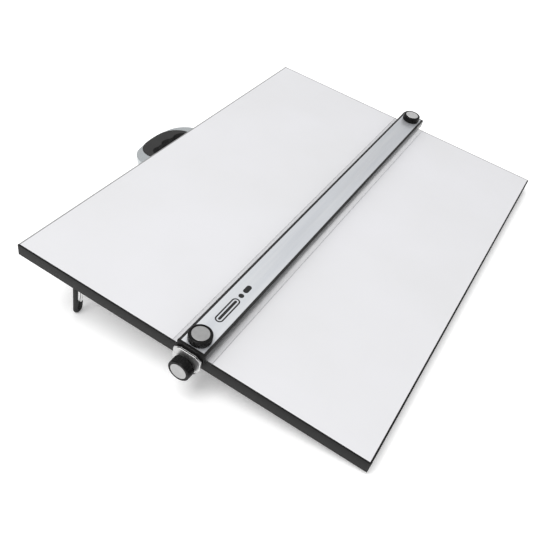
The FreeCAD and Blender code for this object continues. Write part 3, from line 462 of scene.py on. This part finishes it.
def plate_look(name, tone, edge_light_tone):
    """Stamped aluminium, brushed up and down. The face tone and the cut edges' tone are painted light,
    bright on one plate and dark on the other, and a dark band near the top is painted shade for a top
    groove.
    """
    low, high = board_box("clamp_plate_right")
    look = Look(name, Metallic=0.9)
    place = look.board_place()
    fine = look.noise(look.board_place((3000, 3000, 60)), 1.0, 3, 0.6)
    smear = look.noise(place, 120.0, 4)
    face = look.ramp(smear, [(0.3, grey(tone - 6)), (0.7, grey(tone + 6))])
    facing = look.axis_part(look.node("NewGeometry").outputs["True Normal"], "X")
    cut_edge = look.spread(look.maths("ABSOLUTE", facing), CUT_EDGE_FACING, FACE_FACING, 1.0, 0.0)
    across = look.maths("ABSOLUTE", look.axis_part(place, "X"))
    height = look.axis_part(place, "Z")
    groove_width = look.between(across, low.x + GROOVE_START, low.x + GROOVE_END, GROOVE_SIDE_SOFT)
    groove_depth = look.between(
        height, high.z - GROOVE_BOTTOM, high.z - GROOVE_TOP, GROOVE_HEIGHT_SOFT
    )
    # Painted shade: the dark band near the top. Painted light: the tone of the cut edges.
    painted_groove_shade = look.maths("MULTIPLY", groove_width, groove_depth)
    tone = look.blend(cut_edge, face, grey(edge_light_tone))
    look.feed("Base Color", look.blend(painted_groove_shade, tone, grey(12)))
    look.feed("Roughness", look.spread(fine, 0.3, 0.7, 0.28, 0.4))
    look.bumps((fine, 0.00001, 0.5))
    return look


def disc_look(name, joint, tone):
    """Satin silver disc with fine turned rings about its knob's axis."""
    axis = Vector(JOINTS[joint]["axis"])
    centre = Vector(JOINTS[joint]["pos_m"])
    matrix = Matrix.Translation(centre) @ axis.to_track_quat("Z", "Y").to_matrix().to_4x4()
    look = Look(name, Metallic=0.85)
    flat = look.place(matrix, (1, 1, 0))
    radius = look.node("VectorMath", {0: flat}, operation="LENGTH").outputs["Value"]
    rings = look.noise(look.node("CombineXYZ", {0: radius}).outputs[0], 2600.0, 3, 0.7)
    cloud = look.noise(look.place(), 130.0, 4)
    look.feed("Base Color", look.ramp(cloud, [(0.3, grey(tone - 5)), (0.7, grey(tone + 5))]))
    look.feed("Roughness", look.spread(rings, 0.3, 0.7, 0.34, 0.46))
    look.bumps((rings, 0.00001, 0.5))
    return look


def chrome_look():
    """Bright chromed wire with hairline scratches and a few dull specks."""
    look = Look("chrome_wire", Metallic=1.0)
    specks = look.noise(look.place(), 380.0, 5, 0.7)
    look.feed("Base Color", look.ramp(specks, [(0.62, grey(228)), (0.78, grey(170))]))
    look.feed("Roughness", look.spread(specks, 0.35, 0.8, 0.07, 0.3))
    look.bumps((look.noise(look.place(stretch=(900, 900, 60)), 1.0, 3), 0.00001, 0.4))
    return look


def silver_paint_look():
    """Silver lacquered moulding: fine metal flake under a clear coat."""
    look = Look("handle_silver", Metallic=0.55, Coat_Weight=0.6, Coat_Roughness=0.12)
    flake = look.cells(look.place(), 3800.0, output="Color")
    sparkle = look.node("SeparateColor", {0: flake}).outputs[0]
    cloud = look.noise(look.place(), 45.0, 3)
    tone = look.ramp(sparkle, [(0.0, srgb(164, 169, 172)), (1.0, srgb(196, 201, 203))])
    haze = look.spread(cloud, 0.3, 0.7, 0, 0.3)
    look.feed("Base Color", look.blend(haze, tone, srgb(184, 190, 194)))
    look.feed("Roughness", look.spread(sparkle, 0, 1, 0.3, 0.42))
    look.bumps((cloud, 0.0001, 0.2))
    return look


# The tones of paired pieces below differ because each follows the photograph's light on that
# piece. They aren't the real pieces' colours, which would be one tone for each pair.
ALONG_X = (3, 900, 900)
ALONG_Y = (900, 3, 900)
BAND_LIGHT_TONES = {
    "left": ((28, 2, 2), ALONG_Y),
    "right": ((28, 2, 150), ALONG_Y),
    "front": ((22, 2, 2), ALONG_X),
    "rear": ((22, 2, 150), ALONG_X),
}
DISC_TONES = {
    "top_knob_left": 160,
    "top_knob_right": 214,
    "side_knob_left": 176,
    "side_knob_right": 176,
}


def paint_all():
    """Gives every CAD node its material."""
    paint(laminate_look(), "top_laminate")
    for side, (tones, stretch) in BAND_LIGHT_TONES.items():
        paint(edge_band_look("black_edge_band_" + side, tones, stretch), "edge_band_" + side)
    paint(backing_look(), "bottom_laminate")
    paint(wood_look(), "board_core")
    rubber = rubber_look("black_rubber", 38, 0.25)
    paint(rubber, "front_feet", "rear_feet", "leg_sleeve", "brake_pad")
    screws = zinc_look("screw_steel", 190, 0.22)
    paint(screws, "foot_screws", "underside_screws", "plate_screws", "end_cap_screws")
    paint(screws, "cable_clamp_screws", "pulley_axles", "handle_pins", "cable_clamp")
    paint(screws, "top_knob_stud", "side_knob_stud")
    paint(zinc_look("bracket_steel", 178, 0.3), "pulley_brackets", "leg_brackets", "handle_brackets")
    paint(cable_look(), "drive_cable")
    paint(nylon_look(), "cable_guide", "pulley_front", "pulley_rear", "glide_pads")
    paint(anodised_bar_look(), "straightedge_bar")
    paint(anodised_look("black_anodised")[0], "carriage")
    paint(inlay_look(), "top_inlay")
    paint(acrylic_look("blade_front"), "blade_front")
    paint(acrylic_look("blade_rear"), "blade_rear")
    paint(moulded_black_look("black_cap_plastic", 14, 0.4, 0.2, 0.4), "end_cap")
    paint(moulded_black_look("black_knob_plastic", 6, 0.2, 0.16, 0.12), "top_knob", "side_knob")
    paint(plate_look("bright_aluminium", 200, 250), "clamp_plate_left")
    paint(plate_look("shaded_aluminium", 96, 60), "clamp_plate_right")
    for knob, tone in DISC_TONES.items():
        kind, side = knob.rsplit("_", 1)
        paint(disc_look("silver_disc_" + knob, knob + "_turn", tone), f"{kind}_cap_{side}")
    paint(chrome_look(), "leg_wire")
    paint(silver_paint_look(), "handle_bow")
    paint(rubber_look("handle_rubber", 46, 0.2), "handle_grip")


# ------------------------------------------------------------ printed mark
MARK_START = 56 * MM
MARK_HALF_WIDTH = 6.5 * MM
MARK_LINE = 2.2 * MM
MARK_LENGTH = 54 * MM
MARK_GAP = 4 * MM
MARK_DOT = 4.2 * MM
MARK_TAIL = 17 * MM
MARK_LIFT = 0.005 * MM
DOT_HALF_SHARE = 0.999
INK_HEIGHT = 0.06 * MM
ARC_STEPS = 20


def pill_points(start, end, half, across):
    """Outline of a strip with round ends, in the board's frame, anticlockwise."""
    points = []
    for centre, turn in ((end - half, -0.5), (start + half, 0.5)):
        for step in range(ARC_STEPS + 1):
            angle = math.pi * (turn + step / ARC_STEPS)
            points.append((centre + half * math.cos(angle), across + half * math.sin(angle)))
    return points


def raise_outline(work, outline, base, hole=None):
    """Adds a thin closed solid over an outline, with an inner outline left open."""
    rings = []
    for height in (base, base + INK_HEIGHT):
        for loop in (outline, hole):
            if loop is not None:
                rings.append([work.verts.new((x, y, height)) for x, y in loop])
    count = len(outline)
    if hole is None:
        low, high = rings
        work.faces.new(reversed(low))
        work.faces.new(high)
        walls = [(low, high)]
    else:
        low, low_hole, high, high_hole = rings
        walls = [(low, high), (high, high_hole), (high_hole, low_hole), (low_hole, low)]
    for first, second in walls:
        for k in range(count):
            after = (k + 1) % count
            work.faces.new((first[k], first[after], second[after], second[k]))


def ink_look():
    """Black printing ink, faintly mottled, with a soft gloss."""
    look = Look("black_ink", Specular_IOR_Level=0.3)
    place = look.board_place()
    cloud = look.noise(place, 600.0, 4, 0.6)
    look.feed("Base Color", look.ramp(cloud, [(0.3, grey(22)), (0.7, grey(34))]))
    look.feed("Roughness", look.spread(cloud, 0.3, 0.7, 0.4, 0.55))
    look.bumps((cloud, 0.00001, 0.4))
    return look


def inlay_mark():
    """A plain printed mark near the left end of the silver strip: a ringed bar, a dot and a tail.

    The dot is a hair narrower than it is long, which keeps its two half circles from meeting.
    """
    low, high = board_box("top_inlay")
    across = (low.y + high.y) / 2
    base = high.z + MARK_LIFT
    start = low.x + MARK_START
    work = bmesh.new()
    ring = pill_points(start, start + MARK_LENGTH, MARK_HALF_WIDTH, across)
    inner_half = MARK_HALF_WIDTH - MARK_LINE
    hole = pill_points(start + MARK_LINE, start + MARK_LENGTH - MARK_LINE, inner_half, across)
    raise_outline(work, ring, base, hole)
    core_inset = 2 * MARK_LINE
    core_half = MARK_HALF_WIDTH - core_inset
    core = pill_points(start + core_inset, start + MARK_LENGTH - core_inset, core_half, across)
    raise_outline(work, core, base)
    dot = start + MARK_LENGTH + MARK_GAP
    dot_half = MARK_DOT * DOT_HALF_SHARE
    raise_outline(work, pill_points(dot, dot + 2 * MARK_DOT, dot_half, across), base)
    tail = dot + 2 * MARK_DOT + MARK_GAP
    raise_outline(work, pill_points(tail, tail + MARK_TAIL, MARK_DOT, across), base)
    mesh = bpy.data.meshes.new("inlay_mark")
    work.to_mesh(mesh)
    work.free()
    mesh.transform(BOARD_TO_WORLD)
    piece = bpy.data.objects.new("inlay_mark", mesh)
    bpy.context.scene.collection.objects.link(piece)
    piece.data.materials.append(ink_look().material)
    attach(piece, "straightedge")


# ------------------------------------------------------------ studio
FLOOR_SIZE = 8.0
FLOOR_CELLS = 8
FLOOR_GLOW = 0.2
SKY_RANGE = (0.0, 1.0, 0.32, 0.88)
KEY_LIGHT = {"place": (-2.4, -0.35, 4.9), "target": (0, 0, 0.05), "size": 2.6, "power": 160}
TOP_LIGHT = {"place": (0.9, 0.3, 2.6), "target": (-0.2, 0, 0.05), "size": 2.2, "power": 5}
CAMERA_LENS = 42.93
CAMERA_FROM_BOARD = Vector((-0.8688, -0.42368, 0.62817))
CAMERA_AIM = (0.6718, 0.3906, -0.6294)
CAMERA_ROLL = math.radians(0.31)


def floor():
    """A plain white floor under the feet, with a soft glow so that shadows stay pale."""
    mesh = bpy.data.meshes.new("floor")
    work = bmesh.new()
    bmesh.ops.create_grid(
        work, x_segments=FLOOR_CELLS, y_segments=FLOOR_CELLS, size=FLOOR_SIZE / 2
    )
    work.to_mesh(mesh)
    work.free()
    piece = bpy.data.objects.new("floor", mesh)
    bpy.context.scene.collection.objects.link(piece)
    look = Look("floor_paper", Roughness=0.9, Specular_IOR_Level=0.1)
    cloud = look.noise(look.place(), 2.0, 3)
    look.feed("Base Color", look.ramp(cloud, [(0.3, grey(247)), (0.7, grey(249))]))
    look.fix(Emission_Color=(1, 1, 1, 1), Emission_Strength=FLOOR_GLOW)
    piece.data.materials.append(look.material)


def sky():
    """Soft white surround, a little brighter overhead than at the horizon."""
    world = bpy.data.worlds.new("studio")
    bpy.context.scene.world = world
    world.use_nodes = True
    nodes = world.node_tree.nodes
    links = world.node_tree.links
    place = nodes.new("ShaderNodeTexCoord").outputs["Generated"]
    height = nodes.new("ShaderNodeSeparateXYZ")
    links.new(place, height.inputs[0])
    spread = nodes.new("ShaderNodeMapRange")
    links.new(height.outputs["Z"], spread.inputs[0])
    for index, value in enumerate(SKY_RANGE):
        spread.inputs[index + 1].default_value = value
    links.new(spread.outputs[0], nodes["Background"].inputs["Strength"])
    nodes["Background"].inputs["Color"].default_value = (1, 1, 1, 1)


def softbox(name, place, target, size, power):
    """A square soft light aimed at target."""
    data = bpy.data.lights.new(name, "AREA")
    data.shape = "SQUARE"
    data.size = size
    data.energy = power
    light = bpy.data.objects.new(name, data)
    bpy.context.scene.collection.objects.link(light)
    light.location = place
    aim = Vector(target) - Vector(place)
    light.rotation_euler = aim.to_track_quat("-Z", "Y").to_euler()


def camera():
    """The photograph's viewpoint: above the left end, looking along the straightedge."""
    data = bpy.data.cameras.new("camera")
    data.sensor_width = 36.0
    data.lens = CAMERA_LENS
    eye = bpy.data.objects.new("camera", data)
    bpy.context.scene.collection.objects.link(eye)
    aim = Vector(CAMERA_AIM).to_track_quat("-Z", "Y")
    roll = Matrix.Rotation(CAMERA_ROLL, 4, "Z")
    place = Matrix.Translation(BOARD_ORIGIN + CAMERA_FROM_BOARD)
    eye.matrix_world = place @ aim.to_matrix().to_4x4() @ roll
    bpy.context.scene.camera = eye


def studio():
    """Floor, surround, two lights and the camera, shown without a filmic curve."""
    floor()
    sky()
    softbox("key", **KEY_LIGHT)
    softbox("top", **TOP_LIGHT)
    camera()
    bpy.context.scene.view_settings.view_transform = "Standard"


paint_all()
inlay_mark()
studio()
